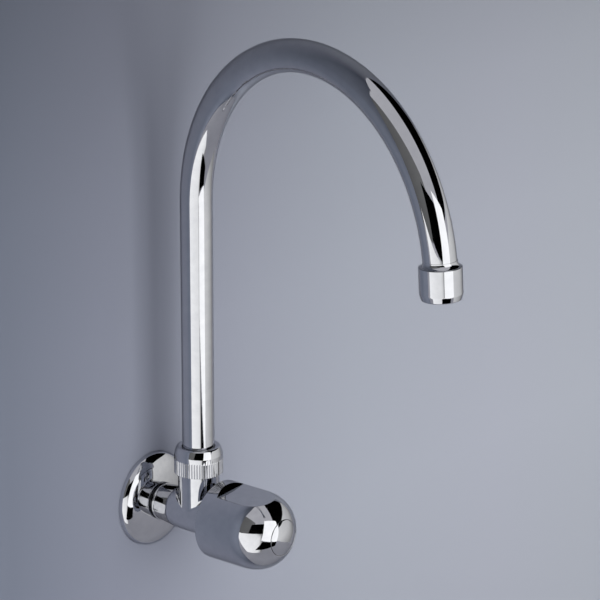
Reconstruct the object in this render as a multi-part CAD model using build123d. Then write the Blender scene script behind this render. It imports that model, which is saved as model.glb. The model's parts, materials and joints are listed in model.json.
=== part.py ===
from build123d import *
from math import pi, radians, sin, sqrt
import os

# Wall-mounted single tap with a swan-neck spout, in millimetres.
# Frame: X right, Y into the wall, Z up. The origin is on the inlet axis, in the wall's plane.
# "Out" is the distance from the wall along the inlet axis, towards the room.

# Clearances
push_gap = 0.03          # a piece pushed on or screwed home
running_gap = 0.06       # radial, a shaft that turns or slides in its bore
ring_stand = 0.02        # how far an O-ring stands out of its groove
face_gap = 0.1           # between flat faces of pieces that turn on each other
free_gap = 0.4           # between pieces that never touch

# Small edges
edge = 0.4
fine_edge = 0.2

# Spout tube
tube_r = 9.525
tube_wall = 1.0
neck_r = 106.6           # centre line of the swan neck's bend
neck_turn = 176.3        # degrees from straight up to the outlet
neck_start = 191.4       # height of the bend's start above the inlet axis
spout_rest = -9.85       # the photographed swing, degrees about the upright, 0 = straight out
upright_out = 38.0       # the upright's axis, out from the wall

# Wall flange, its ring and gasket
flange_r = 28.9
flange_depth = 9.0
flange_shell = 1.4
flange_power = 2.6       # 2 = elliptical dome, more = squarer shoulder
outline_steps = 6        # spans of the dome's outline
ring_width = 2.4
ring_height = 0.65       # above the barrel
ring_round = 0.5
gasket_inset = 2.5       # from the flange's inside
gasket_thick = 1.6

# Valve body: inlet thread, barrel, boss and upright
thread_r = 10.48         # G 1/2 male inlet thread
thread_length = 16.0
thread_chamfer = 1.2
inlet_bore_r = 7.0
barrel_r = 10.9
taper_length = 20.0      # from the ring to the full boss radius
taper_slope = 0.12       # where the taper leaves the barrel
boss_reach = 14.0        # from the upright's axis to the front of the boss
boss_wall = 3.4
upright_wall = 2.715
upright_step = 0.4       # the upright is this much slimmer than the boss
upright_top = 36.0       # height above the inlet axis
blend_r = 4.0            # cast blend between the barrel and the upright
nut_thread_step = 0.4    # the thread under the nut is this much slimmer than the upright
chamber_reach = 14.0     # from the upright's axis back to the valve chamber's floor
seat_web = 4.0
seat_rim = 1.5
seat_r = 5.5
seat_rim_wall = 1.3
port_r = 6.5
floor_wall = 2.7         # between the chamber and the upright's socket

# Headwork
insert_length = 9.0      # screwed into the front of the boss
headwork_gasket_thick = 1.2
hexagon_step = 1.2       # the hexagon's flats stand out this much round the insert
hexagon_thick = 5.0
neck_wall = 3.2
neck_length = 11.0
spindle_r = 4.0
spindle_collar = 1.3     # the collar stands out this much round the spindle
spindle_collar_thick = 2.0
spline_length = 9.5
spline_depth = 0.45
spline_teeth = 16
clip_thick = 0.8
clip_height = 1.6
clip_groove = 0.7
clip_mouth = 5.4
o_ring_section = 1.6     # spindle O-rings
o_ring_depth = 4.0       # from the neck's end to the outer groove
o_ring_spacing = 4.8
jumper_flats = 11.0
jumper_bore_wall = 1.35
jumper_plate_thick = 1.8
jumper_floor = 2.2
valve_lift = 4.0
travel_end_gap = 0.5     # left at each end of the jumper's travel
washer_thick = 2.6
washer_over = 0.5        # the washer reaches this far past the seat's rim
washer_hole_r = 2.0
washer_screw_head_r = 3.4
washer_screw_head = 1.0
washer_screw_slot = 0.8
washer_screw_length = 5.0

# Knob
knob_gap = 3.5           # between the boss and the knob
knob_r = 23.55
knob_straight = 27.5     # length of the cylinder before the dome
knob_length = 51.4
shoulder_in = 3.15       # the round shoulder runs into the cone here, in from the cylinder
shoulder_back = 11.8     # and back from the knob's front
crown_in = 10.95         # and rounds over into the crown from here
crown_back = 4.0
knob_rest = 4.0          # degrees, the photographed turn of the flats
flat_cut = 2.65          # depth of the milled flats
flat_start = 9.0         # out from the knob's back
flat_wall = 1.95         # left between a flat and the hollow
hollow_over = 5.0        # the knob's hollow ends this far past the start of the dome
knob_web = 3.0           # clamped by the knob's screw
hub_wall = 3.0
hub_relief = 1.0         # the hub's mouth is this much wider than the hub
adapter_wall = 2.4
adapter_end_wall = 1.2
adapter_flange = 1.8
adapter_flange_thick = 1.4
screw_r = 1.95
screw_head_r = 3.6
screw_head_thick = 2.6
screw_cross_arm = 4.7
screw_cross_width = 0.9
screw_length = 12.0
cap_r = 10.7
cap_proud = 0.15
cap_crown = 2.8
cap_edge = 0.3           # bevel round the cap and round its seat, which leaves a fine groove
cap_thick = 2.0
cap_pin_length = 5.0
cap_pin_wall = 1.2

# Spout nut
nut_wall = 2.6           # outside the thread
knurl_height = 8.9
knurl_teeth = 56
knurl_depth = 0.35
band_height = 3.4
band_step = 0.12
shoulder_height = 4.3
shoulder_bow = 0.8       # how far the rounded shoulder stands out from its chord
nut_lip = 1.775          # from the tube to the top edge
nut_dish = 0.85
nut_end_wall = 2.1       # over the upper slip washer
nut_free_gap = 0.33      # round the spout tube

# Spout foot and its rings
slip_thick = 0.7
foot_flange = 1.675      # the swivel flange stands out this much round the shank
foot_flange_thick = 2.6
foot_wall = 3.0
foot_spigot = 10.0
foot_clear = 1.5         # between the foot and the socket's floor
foot_o_ring_section = 1.8
foot_o_ring_spacing = 8.0
foot_tail = 3.4          # from the foot's end to the first O-ring groove

# Outlet
collar_cover = 5.2       # tube length inside the aerator housing
collar_flare = 3.4
collar_bow = 0.6         # how far the flare is hollowed from its chord
collar_lip = 0.15        # the flare's thin edge on the tube
collar_wall = 1.475      # outside the tube, inside the housing's thread
collar_end_wall = 3.0
housing_wall = 1.1
housing_step = 0.6       # the housing stands out this much from the flare
aerator_length = 18.5
aerator_chamfer = 3.6
aerator_chamfer_in = 1.0
aerator_chamfer_round = 2.5
aerator_rim_round = 0.7
aerator_lip_in = 3.2
aerator_lip = 1.5
aerator_washer_thick = 1.6
insert_gap = 0.2         # round the screen and the insert
screen_thick = 0.8
screen_hole_r = 0.75
screen_rim = 2.8
grid_hole_r = 1.15
grid_rim = 0.8
grid_edge = 0.3          # from the outer holes to the recess's wall
grid_recess = 0.7


# Sizes that follow from the driving ones
foot_r = tube_r
socket_r = foot_r + running_gap
upright_r = socket_r + upright_wall
nut_thread_r = upright_r - nut_thread_step
boss_r = upright_r + upright_step
boss_end = upright_out + boss_reach
insert_r = boss_r - boss_wall
chamber_back = upright_out - chamber_reach
ring_end = flange_depth + ring_width
seat_out = chamber_back + seat_rim
washer_r = seat_r + seat_rim_wall + washer_over
socket_floor = insert_r + floor_wall

headwork_back = boss_end - insert_length
hexagon_out = boss_end + headwork_gasket_thick
neck_out = hexagon_out + hexagon_thick
neck_end_out = neck_out + neck_length
clip_out = neck_end_out + face_gap
spline_out = clip_out + clip_thick + face_gap
spindle_end_out = spline_out + spline_length
collar_out = hexagon_out + travel_end_gap
collar_end_out = collar_out + spindle_collar_thick
jumper_end_out = collar_out - travel_end_gap - valve_lift
jumper_plate_out = seat_out + face_gap + washer_thick
jumper_bore_r = jumper_flats / 2 - jumper_bore_wall
washer_face_out = jumper_plate_out - washer_thick
washer_screw_end = washer_face_out + washer_screw_length
jumper_bore_floor = washer_screw_end + free_gap + jumper_floor
spindle_screw_end = jumper_bore_floor + valve_lift + travel_end_gap

knob_back = boss_end + knob_gap
knob_front = knob_back + knob_length
flat_height = knob_r - flat_cut
cavity_r = flat_height - flat_wall
hollow_out = knob_back + knob_straight + hollow_over
web_out = spindle_end_out + push_gap + adapter_end_wall
screw_head_out = web_out + knob_web
adapter_r = spindle_r + push_gap + adapter_wall
adapter_flange_out = spline_out + adapter_flange_thick
hub_r = adapter_r + push_gap + hub_wall
cap_pin_r = screw_head_r + free_gap + cap_pin_wall

flange_base = upright_top + slip_thick + face_gap
foot_flange_r = foot_r + foot_flange
foot_base = socket_floor + foot_clear
tube_base = flange_base + foot_flange_thick
nut_ceiling = tube_base + face_gap + slip_thick
nut_top = nut_ceiling + nut_end_wall
nut_base = nut_top - shoulder_height - band_height - knurl_height
nut_r = nut_thread_r + nut_wall

collar_r = tube_r + collar_wall
aerator_r = collar_r + housing_wall
aerator_lip_r = aerator_r - aerator_lip_in
housing_bore_r = collar_r - edge
aerator_end = aerator_length - collar_cover


front = Plane(origin=(0, 0, 0), x_dir=(1, 0, 0), z_dir=(0, -1, 0)).location
knob_axes = front * Rot(0, 0, knob_rest)
upright = Location((0, -upright_out, 0))
swung = upright * Rot(0, 0, spout_rest)
bend_centre = Location((0, -neck_r, neck_start))
outlet = swung * bend_centre * Rot(neck_turn, 0, 0) * Location((0, neck_r, 0))
parts = {}


# Helpers

def turned(*corners):
    """A solid of revolution about Z from (radius, height) corners; a third value rounds that corner."""
    face = make_face(Polyline([(c[0], 0, c[1]) for c in corners], close=True))
    for corner in corners:
        if len(corner) == 3:
            nearest = face.vertices().sort_by_distance((corner[0], 0, corner[1]))[0]
            face = fillet(nearest, corner[2])
    return revolve(face, Axis.Z)


def ring(inner, outer, low, high):
    """A plain ring or tube about Z."""
    return turned((inner, low), (outer, low), (outer, high), (inner, high))


def rod(radius, low, high):
    """A plain cylinder about Z."""
    return Pos(0, 0, low) * Cylinder(radius, high - low, align=(Align.CENTER, Align.CENTER, Align.MIN))


def drilled(radius, low, high):
    """A cylinder about Z to cut with, which runs 1 mm past both heights."""
    return rod(radius, low - 1, high + 1)


def hexagon(flats, low, high):
    """A six-sided bar about Z, given its width across flats."""
    return Pos(0, 0, low) * extrude(RegularPolygon(flats / 2, 6, major_radius=False), high - low)


def o_ring(shaft, section, height):
    """A round-section ring about Z that stands a little out of its groove in the shaft."""
    return Pos(0, 0, height) * Torus(shaft + ring_stand - section / 2, section / 2)


def o_ring_groove(shaft, section, height):
    """What the groove for an O-ring takes off a shaft."""
    return ring(shaft + ring_stand - section, shaft + section, height - section / 2, height + section / 2)


def bowed(start, end, bow):
    """An arc between two outline points; its middle stands off their chord, to the right of the way there."""
    run = end[0] - start[0]
    rise = end[2] - start[2]
    chord = sqrt(run ** 2 + rise ** 2)
    middle = (start[0] + run / 2 + bow * rise / chord, 0, start[2] + rise / 2 - bow * run / chord)
    return ThreePointArc(start, middle, end)


def crown_arc(radius, rim, tip):
    """A round crown's half outline, from its rim to its tip on the axis."""
    height = tip - rim
    sphere = (radius ** 2 + height ** 2) / (2 * height)
    half_r = radius / 2
    return ThreePointArc((radius, 0, rim), (half_r, 0, tip - sphere + sqrt(sphere ** 2 - half_r ** 2)), (0, 0, tip))


def superellipse(radius, depth, power, inner):
    """Points of a flattened dome's outline, from its rim to the inner radius."""
    last = (1 - (inner / radius) ** power) ** (1 / power)
    heights = [last * sin(radians(90 * step / outline_steps)) for step in range(outline_steps + 1)]
    return [(radius * (1 - h ** power) ** (1 / power), 0, depth * h) for h in heights]


# Flange against the wall

def wall_flange():
    """The domed shell, and how far out it ends at the ring."""
    hole = barrel_r + free_gap
    outside = superellipse(flange_r, flange_depth, flange_power, hole)
    inside = superellipse(flange_r - flange_shell, flange_depth - flange_shell, flange_power, hole)
    outline = [
        Spline(outside, tangents=[(0, 0, 1), (-1, 0, 0)]),
        Line(outside[-1], inside[-1]),
        Spline(inside[::-1], tangents=[(1, 0, 0), (0, 0, -1)]),
        Line(inside[0], outside[0]),
    ]
    return front * revolve(make_face(outline), Axis.Z), outside[-1][2]


def flange_ring(back):
    inner = barrel_r + push_gap
    outer = barrel_r + ring_height
    return front * turned((inner, back), (outer, back, ring_round), (outer, ring_end, ring_round), (inner, ring_end))


def flange_gasket():
    return front * ring(barrel_r + push_gap, flange_r - flange_shell - gasket_inset, 0, gasket_thick)


# Valve body with its inlet thread, seat and upright

def inlet_thread():
    """The threaded stub at its crest radius, from the wall's plane into the wall."""
    end = thread_length - thread_chamfer
    return turned(
        (inlet_bore_r, 0), (thread_r, 0), (thread_r, -end),
        (thread_r - thread_chamfer, -thread_length), (inlet_bore_r, -thread_length),
    )


def valve_body():
    taper_end = ring_end + taper_length
    outline = [
        Polyline((0, 0, 0), (barrel_r, 0, 0), (barrel_r, 0, ring_end)),
        Spline((barrel_r, 0, ring_end), (boss_r, 0, taper_end), tangents=[(taper_slope, 0, 1), (0, 0, 1)]),
        Polyline((boss_r, 0, taper_end), (boss_r, 0, boss_end), (0, 0, boss_end), (0, 0, 0)),
    ]
    barrel = front * revolve(make_face(outline), Axis.Z)
    body = barrel + upright * rod(upright_r, 0, nut_base - face_gap)
    seam = [e for e in body.edges() if e.geom_type == GeomType.BSPLINE and e.center().Z > 1]
    body = fillet(seam, blend_r)
    body += upright * rod(nut_thread_r, 0, upright_top)
    body -= front * drilled(inlet_bore_r, 0, chamber_back - seat_web - 1)
    body -= front * rod(seat_r, 0, seat_out)
    chamber = drilled(insert_r, chamber_back + 1, boss_end)
    body -= front * (chamber - ring(seat_r, seat_r + seat_rim_wall, 0, seat_out))
    body -= upright * rod(socket_r, socket_floor, upright_top)
    body -= upright * rod(port_r, 0, upright_top)
    return body + front * inlet_thread()


# Headwork, from the gasket to the spindle's clip

def headwork_body():
    neck_r_outer = spindle_r + neck_wall
    shape = rod(insert_r - push_gap, headwork_back, hexagon_out)
    shape += hexagon(2 * (insert_r + hexagon_step), hexagon_out, neck_out)
    shape += turned((0, neck_out), (neck_r_outer, neck_out), (neck_r_outer, neck_end_out, edge), (0, neck_end_out))
    shape -= hexagon(jumper_flats + 2 * free_gap, headwork_back - 1, collar_out)
    shape -= rod(spindle_r + spindle_collar + free_gap, headwork_back, collar_end_out + face_gap)
    return front * (shape - drilled(spindle_r + running_gap, headwork_back, neck_end_out))


def headwork_gasket():
    return front * ring(insert_r + push_gap, boss_r - edge, boss_end, hexagon_out)


def headwork_spindle():
    shape = rod(jumper_bore_r - free_gap, spindle_screw_end, collar_out)
    shape += rod(spindle_r + spindle_collar, collar_out, collar_end_out)
    shape += rod(spindle_r, collar_end_out, spindle_end_out)
    for depth in (o_ring_depth, o_ring_depth + o_ring_spacing):
        shape -= o_ring_groove(spindle_r, o_ring_section, neck_end_out - depth)
    shape -= ring(spindle_r - clip_groove, spindle_r + clip_height, clip_out, clip_out + clip_thick)
    tooth = pi * spindle_r / spline_teeth
    for place in PolarLocations(spindle_r, spline_teeth):
        notch = Box(2 * spline_depth, tooth, spline_length, align=(Align.CENTER, Align.CENTER, Align.MIN))
        shape -= Pos(0, 0, spline_out) * place * notch
    return front * (shape - drilled(screw_r + push_gap, screw_head_out - screw_length, spindle_end_out))


def spindle_o_ring(depth):
    return front * o_ring(spindle_r, o_ring_section, neck_end_out - depth)


def spindle_clip():
    outer = spindle_r + clip_height
    mouth = Box(outer + 1, clip_mouth, clip_thick, align=(Align.MIN, Align.CENTER, Align.MIN))
    clip = ring(spindle_r - clip_groove + push_gap, outer, clip_out, clip_out + clip_thick)
    return front * (clip - Pos(0, 0, clip_out) * mouth)


# Jumper with its washer

def valve_jumper():
    plate_end = jumper_plate_out + jumper_plate_thick
    shape = turned((0, jumper_plate_out), (washer_r, jumper_plate_out), (washer_r, plate_end, edge), (0, plate_end))
    shape += hexagon(jumper_flats, plate_end, jumper_end_out)
    shape -= rod(jumper_bore_r, jumper_bore_floor, jumper_end_out + 1)
    return front * (shape - rod(washer_hole_r, jumper_plate_out - 1, washer_screw_end + free_gap))


def valve_washer():
    return front * ring(washer_hole_r, washer_r, washer_face_out, jumper_plate_out)


def washer_screw():
    back = washer_face_out - washer_screw_head
    shape = rod(washer_hole_r - push_gap, washer_face_out, washer_screw_end)
    shape += turned(
        (0, back), (washer_screw_head_r, back, edge),
        (washer_screw_head_r, washer_face_out), (0, washer_face_out),
    )
    slot = Pos(0, 0, back) * Box(4 * washer_screw_head_r, washer_screw_slot, washer_screw_head)
    return front * (shape - slot)


# Knob with its adapter, screw and cap

def knob_outline():
    """Half outline of the knob's outside: a cylinder, a round shoulder, a cone and a round crown."""
    rim = (knob_r, 0, knob_back)
    dome = (knob_r, 0, knob_back + knob_straight)
    shoulder = (knob_r - shoulder_in, 0, knob_front - shoulder_back)
    crown = (knob_r - crown_in, 0, knob_front - crown_back)
    tip = (0, 0, knob_front)
    return [
        Line(rim, dome),
        Spline(dome, shoulder, crown, tip, tangents=[(0, 0, 1), (-1, 0, 0)]),
        Polyline(tip, (0, 0, knob_back), rim),
    ]


def cap_seat_out():
    """Where the index cap's rim meets the knob's outline."""
    dome = knob_outline()[1]
    return dome.find_intersection_points(Axis((cap_r, 0, 0), (0, 0, 1)))[0].Z


def cap_recess():
    """What the index cap's seat takes off the knob, with a bevel round its mouth."""
    seat = cap_seat_out()
    wall = cap_r + running_gap
    bevel = 4 * cap_edge
    return turned(
        (0, seat - cap_thick), (wall, seat - cap_thick), (wall, seat - cap_edge),
        (wall + bevel, seat - cap_edge + bevel), (0, seat - cap_edge + bevel),
    )


def knob():
    shape = revolve(make_face(knob_outline()), Axis.Z)
    slab = Box(2 * knob_r, knob_r, knob_length, align=(Align.CENTER, Align.MIN, Align.MIN))
    for turn in (0, 180):
        shape -= Rot(0, 0, turn) * Pos(0, flat_height, knob_back + flat_start) * slab
    mouth = knob_back - 1
    shape -= turned((hub_r, mouth), (cavity_r, mouth), (cavity_r, hollow_out, 2 * edge), (hub_r, hollow_out, edge))
    shape -= rod(hub_r + hub_relief, mouth, adapter_flange_out)
    shape -= rod(adapter_r + push_gap, mouth, web_out)
    shape -= rod(screw_r + free_gap, mouth, screw_head_out)
    shape -= rod(cap_pin_r + push_gap, screw_head_out, knob_front)
    shape -= rod(cap_r + running_gap, cap_seat_out(), knob_front)
    return knob_axes * (shape - cap_recess())


def knob_adapter():
    shape = rod(adapter_r, spline_out, web_out)
    shape += rod(adapter_r + adapter_flange, spline_out, adapter_flange_out)
    shape -= rod(spindle_r + push_gap, spline_out - 1, spindle_end_out + push_gap)
    return knob_axes * (shape - rod(screw_r + free_gap, spline_out, web_out + 1))


def knob_screw():
    head_end = screw_head_out + screw_head_thick
    shape = rod(screw_r, screw_head_out - screw_length + free_gap, screw_head_out)
    shape += turned(
        (0, screw_head_out), (screw_head_r, screw_head_out), (screw_head_r, head_end, 3 * edge), (0, head_end)
    )
    for turn in (0, 90):
        cross = Box(screw_cross_arm, screw_cross_width, screw_head_thick)
        shape -= Pos(0, 0, head_end) * Rot(0, 0, turn) * cross
    return knob_axes * shape


def index_cap():
    seat = cap_seat_out()
    rim = seat + cap_proud
    tip = rim + cap_crown
    back = seat - cap_thick
    pin_end = back - cap_pin_length
    pin_inner = cap_pin_r - cap_pin_wall
    outline = [
        Polyline(
            (0, 0, tip), (0, 0, back), (pin_inner, 0, back), (pin_inner, 0, pin_end),
            (cap_pin_r, 0, pin_end), (cap_pin_r, 0, back), (cap_r, 0, back), (cap_r, 0, rim - cap_edge),
            (cap_r - cap_edge, 0, rim),
        ),
        crown_arc(cap_r - cap_edge, rim, tip),
    ]
    return knob_axes * revolve(make_face(outline), Axis.Z)


# Nut on the upright

def spout_nut():
    knurl_top = nut_base + knurl_height
    band_top = knurl_top + band_height
    bore = tube_r + nut_free_gap
    base_rim = (nut_r, 0, nut_base)
    knurl_rim = (nut_r, 0, knurl_top)
    band = (nut_r - band_step, 0, band_top)
    lip = (tube_r + nut_lip, 0, nut_top)
    dish = (bore, 0, nut_top - nut_dish)
    outline = [
        Polyline(dish, (bore, 0, nut_base), base_rim, knurl_rim, (band[0], 0, knurl_top + band_step), band),
        bowed(band, lip, shoulder_bow),
        Line(lip, dish),
    ]
    nut = revolve(make_face(outline), Axis.Z)
    tooth_gap = Rot(0, 0, 45) * Box(2 * knurl_depth, 2 * knurl_depth, knurl_height + 2)
    gap_r = nut_r + knurl_depth * (sqrt(2) - 1)
    gaps = [place * tooth_gap for place in PolarLocations(gap_r, knurl_teeth)]
    nut -= Pos(0, 0, nut_base + knurl_height / 2) * Compound(gaps)
    nut -= rod(nut_thread_r + push_gap, nut_base - 1, upright_top)
    return upright * (nut - rod(foot_flange_r + free_gap, nut_base, nut_ceiling))


# Spout foot, its rings and the swan neck

def spout_foot():
    bore = foot_r - foot_wall
    spigot = tube_r - tube_wall - push_gap
    spigot_end = tube_base + foot_spigot
    shape = turned(
        (bore, foot_base), (foot_r, foot_base, 2 * edge), (foot_r, flange_base),
        (foot_flange_r, flange_base, fine_edge), (foot_flange_r, tube_base, fine_edge),
        (spigot, tube_base), (spigot, spigot_end, edge), (bore, spigot_end),
    )
    for height in (foot_tail, foot_tail + foot_o_ring_spacing):
        shape -= o_ring_groove(foot_r, foot_o_ring_section, foot_base + height)
    return swung * shape


def foot_o_ring(height):
    return swung * o_ring(foot_r, foot_o_ring_section, foot_base + height)


def slip_washer(base):
    """A nylon ring that the swivel flange runs on, or that runs on the flange, round the shank or the tube."""
    return upright * ring(max(foot_r, tube_r) + running_gap + push_gap, foot_flange_r, base, base + slip_thick)


def neck_solid(radius):
    """The tube's full or inner form: an upright cylinder and a bend towards -Y."""
    section = Pos(0, 0, neck_start) * Circle(radius)
    bend_axis = Axis((0, -neck_r, neck_start), (1, 0, 0))
    return rod(radius, tube_base, neck_start) + revolve(section, bend_axis, neck_turn)


def spout_tube():
    return swung * (neck_solid(tube_r) - neck_solid(tube_r - tube_wall))


# Outlet collar and aerator, about the outlet's own axis, which points down from the tube's end

def outlet_collar():
    """The flared ferrule that the tube is brazed into, with the housing's thread round its lower end."""
    bore = tube_r - tube_wall
    lip = (tube_r + collar_lip, 0, -collar_cover - collar_flare)
    foot = (aerator_r - housing_step, 0, -collar_cover - fine_edge)
    outline = [
        bowed(lip, foot, -collar_bow),
        Polyline(
            foot, (foot[0], 0, -collar_cover), (collar_r, 0, -collar_cover), (collar_r, 0, collar_end_wall),
            (bore, 0, collar_end_wall), (bore, 0, lip[2]), lip,
        ),
    ]
    return outlet * revolve(make_face(outline), Axis.Z) - swung * neck_solid(tube_r)


def aerator_housing():
    chamfer_start = (aerator_r, aerator_end - aerator_chamfer, aerator_chamfer_round)
    shape = turned(
        (aerator_lip_r, -collar_cover), (aerator_r, -collar_cover, fine_edge), chamfer_start,
        (aerator_r - aerator_chamfer_in, aerator_end, aerator_rim_round), (aerator_lip_r, aerator_end),
    )
    shape -= rod(collar_r + push_gap, -collar_cover - 1, collar_end_wall)
    return outlet * (shape - rod(housing_bore_r, 0, aerator_end - aerator_lip))


def aerator_washer():
    top = collar_end_wall + aerator_washer_thick
    return outlet * ring(tube_r - tube_wall, housing_bore_r - push_gap, collar_end_wall, top)


def hole_pattern(radius, spacing, low, high):
    """A round hole in the middle with rings of 6 and 12 holes round it, to cut with."""
    holes = [drilled(radius, low, high)]
    for count in (6, 12):
        for place in PolarLocations(spacing * count / 6, count):
            holes.append(place * drilled(radius, low, high))
    return Compound(holes)


def aerator_screen():
    low = collar_end_wall + aerator_washer_thick
    high = low + screen_thick
    outer = housing_bore_r - insert_gap
    spacing = (outer - screen_rim - screen_hole_r) / 2
    return outlet * (rod(outer, low, high) - hole_pattern(screen_hole_r, spacing, low, high))


def aerator_insert():
    """The jet insert: a shoulder that rests on the housing's lip and a spigot with the outlet grid."""
    low = collar_end_wall + aerator_washer_thick + screen_thick
    high = aerator_end - fine_edge
    shelf = aerator_end - aerator_lip
    outer = housing_bore_r - insert_gap
    spigot = aerator_lip_r - insert_gap
    grid_r = spigot - grid_rim
    shape = turned((0, low), (outer, low), (outer, shelf), (spigot, shelf), (spigot, high), (0, high))
    spacing = (grid_r - grid_edge - grid_hole_r) / 2
    shape -= rod(grid_r, low - 1, low + grid_recess)
    return outlet * (shape - hole_pattern(grid_hole_r, spacing, low, high))


# Every piece by name

flange, flange_front = wall_flange()
parts["wall_flange"] = flange
parts["flange_ring"] = flange_ring(flange_front)
parts["flange_gasket"] = flange_gasket()
parts["valve_body"] = valve_body()
parts["headwork_body"] = headwork_body()
parts["headwork_gasket"] = headwork_gasket()
parts["headwork_spindle"] = headwork_spindle()
parts["spindle_o_ring_inner"] = spindle_o_ring(o_ring_depth + o_ring_spacing)
parts["spindle_o_ring_outer"] = spindle_o_ring(o_ring_depth)
parts["spindle_clip"] = spindle_clip()
parts["valve_jumper"] = valve_jumper()
parts["valve_washer"] = valve_washer()
parts["washer_screw"] = washer_screw()
parts["knob"] = knob()
parts["knob_adapter"] = knob_adapter()
parts["knob_screw"] = knob_screw()
parts["index_cap"] = index_cap()
parts["spout_nut"] = spout_nut()
parts["spout_foot"] = spout_foot()
parts["spout_o_ring_lower"] = foot_o_ring(foot_tail)
parts["spout_o_ring_upper"] = foot_o_ring(foot_tail + foot_o_ring_spacing)
parts["slip_washer_lower"] = slip_washer(upright_top)
parts["slip_washer_upper"] = slip_washer(nut_ceiling - slip_thick)
parts["spout_tube"] = spout_tube()
parts["outlet_collar"] = outlet_collar()
parts["aerator_housing"] = aerator_housing()
parts["aerator_washer"] = aerator_washer()
parts["aerator_screen"] = aerator_screen()
parts["aerator_insert"] = aerator_insert()

os.makedirs("parts", exist_ok=True)
for name, shape in parts.items():
    shape.label = name
    export_step(shape, f"parts/{name}.step")
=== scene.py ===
import json

import bpy
import numpy as np
from mathutils import Matrix, Vector


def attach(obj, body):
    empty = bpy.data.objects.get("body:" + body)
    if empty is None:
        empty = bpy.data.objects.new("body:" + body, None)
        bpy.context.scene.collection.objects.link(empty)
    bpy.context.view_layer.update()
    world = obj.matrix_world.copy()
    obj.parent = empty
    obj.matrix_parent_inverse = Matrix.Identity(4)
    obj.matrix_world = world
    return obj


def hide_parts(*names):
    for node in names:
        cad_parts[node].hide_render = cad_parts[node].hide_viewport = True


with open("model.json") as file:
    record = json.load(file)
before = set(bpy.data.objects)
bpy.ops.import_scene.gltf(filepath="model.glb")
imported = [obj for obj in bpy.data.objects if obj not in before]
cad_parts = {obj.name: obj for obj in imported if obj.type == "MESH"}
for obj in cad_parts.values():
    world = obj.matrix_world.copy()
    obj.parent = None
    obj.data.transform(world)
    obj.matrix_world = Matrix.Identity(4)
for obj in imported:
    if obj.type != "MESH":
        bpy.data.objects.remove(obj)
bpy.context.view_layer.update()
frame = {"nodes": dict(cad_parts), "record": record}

MM = 0.001

# Sizes of the tap, in millimetres. Heights run along a piece's own axis: out from the wall for the
# pieces on the barrel, up from the inlet's axis for those on the upright, and down the outlet from
# the tube's end

# Spout tube with its swan neck
TUBE_R = 9.525
TUBE_WALL = 1.0
TUBE_BASE = 39.4
NECK_R = 106.6
NECK_TURN = np.radians(176.3)
NECK_START = 191.4
SPOUT_REST = np.radians(-9.85)

# Wall flange, a flattened dome, and its ring with a low neck and a half-round bead
FLANGE_R = 28.9
FLANGE_DEPTH = 9.0
FLANGE_SHELL = 1.4
FLANGE_POWER = 2.6
FLANGE_HOLE_R = 11.3
RING_INNER_R = 10.93
RING_NECK_R = 11.0
RING_OUTER_R = 11.55
BEAD_START = 10.1
RING_END = 11.4
BEAD_ROUND = 0.55

# Body: inlet thread with its runout, tapered barrel, boss, seat and chamber
THREAD_R = 10.48
THREAD_LENGTH = 16.0
THREAD_CHAMFER = 1.2
THREAD_PITCH = 1.814
THREAD_DEPTH = 1.16
THREAD_RUNOUT = (0.8, 2.2)
THREAD_ROWS = 120
INLET_BORE_R = 7.0
INLET_BORE_END = 20.0
BARREL_R = 10.9
BOSS_R = 12.7
TAPER_END = 31.4
TAPER_SLOPE = 0.12
BOSS_END = 52.0
INSERT_R = 9.3
CHAMBER_FLOOR = 24.0
SEAT_R = 5.5
SEAT_RIM_R = 6.8
SEAT_OUT = 25.5

# Body: the upright and its blend into the barrel
UPRIGHT_OUT = 38.0
UPRIGHT_R = 12.3
UPRIGHT_SHOULDER = 25.6
UPRIGHT_TOP = 36.0
NUT_THREAD_R = 11.9
SOCKET_R = 9.585
SOCKET_FLOOR = 12.0
BLEND_R = 4.0
BLEND_MARGIN = 0.2
BLEND_SOFTNESS = 3
PATCH_START = 17.5

# Spout nut
NUT_BASE = 25.7
KNURL_TOP = 34.6
BAND_TOP = 37.4
SHOULDER_TOP = 41.5
NUT_TOP = 42.3
NUT_R = 14.5
BAND_STEP = 0.12
SHOULDER_R = 13.05
SHOULDER_BOW = 0.1
NUT_LIP_R = 11.6
NUT_LIP_BOW = 0.24
NUT_BORE_R = 9.855
NUT_DISH = 0.4
NUT_CEILING = 40.2
NUT_HOLLOW_R = 11.6
NUT_BASE_ROUND = 0.15
KNURL_ROWS = 14

# Knurl: places from a gap's middle, with the share of the depth that is cut there
KNURL_TEETH = 56
KNURL_DEPTH = 0.35
KNURL_TOOTH_MIDDLE = -0.815
KNURL_CUT = {-0.48: 0, -0.38: 0.05, -0.30: 0.2, -0.07: 0.93, 0: 1,
             0.07: 0.93, 0.30: 0.2, 0.38: 0.05, 0.48: 0}

# Knob: its outside, with heights counted from its back
KNOB_REST = np.radians(4.8)
KNOB_BACK = 55.5
KNOB_R = 23.55
KNOB_STRAIGHT = 27.5
KNOB_SHOULDER = (20.4, 39.6)
KNOB_CROWN = (12.6, 47.4)
KNOB_LENGTH = 51.4
KNOB_EDGE = 0.4
FLAT_HEIGHT = 20.3
FLAT_START = 9.0
RAMP_SLOPE = 1.3
RAMP_LENGTH = 2.8
FLAT_SOFTNESS = 0.1

# Knob: columns in degrees, close over a flat and its borders, wider over the round sides between
FLAT_REACH, FLAT_COLUMN = 32, 0.45
ROUND_START, ROUND_COLUMN = 34, 2

# Knob: its hollow, hub and web
CAVITY_R = 18.95
CAVITY_FLOOR = 88.0
CAVITY_ROUND = 0.8
HUB_R = 9.46
HUB_END = 71.6
ADAPTER_BORE_R = 6.46
WEB_OUT = 80.93
WEB_FRONT = 83.93
SCREW_HOLE_R = 2.35

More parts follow.
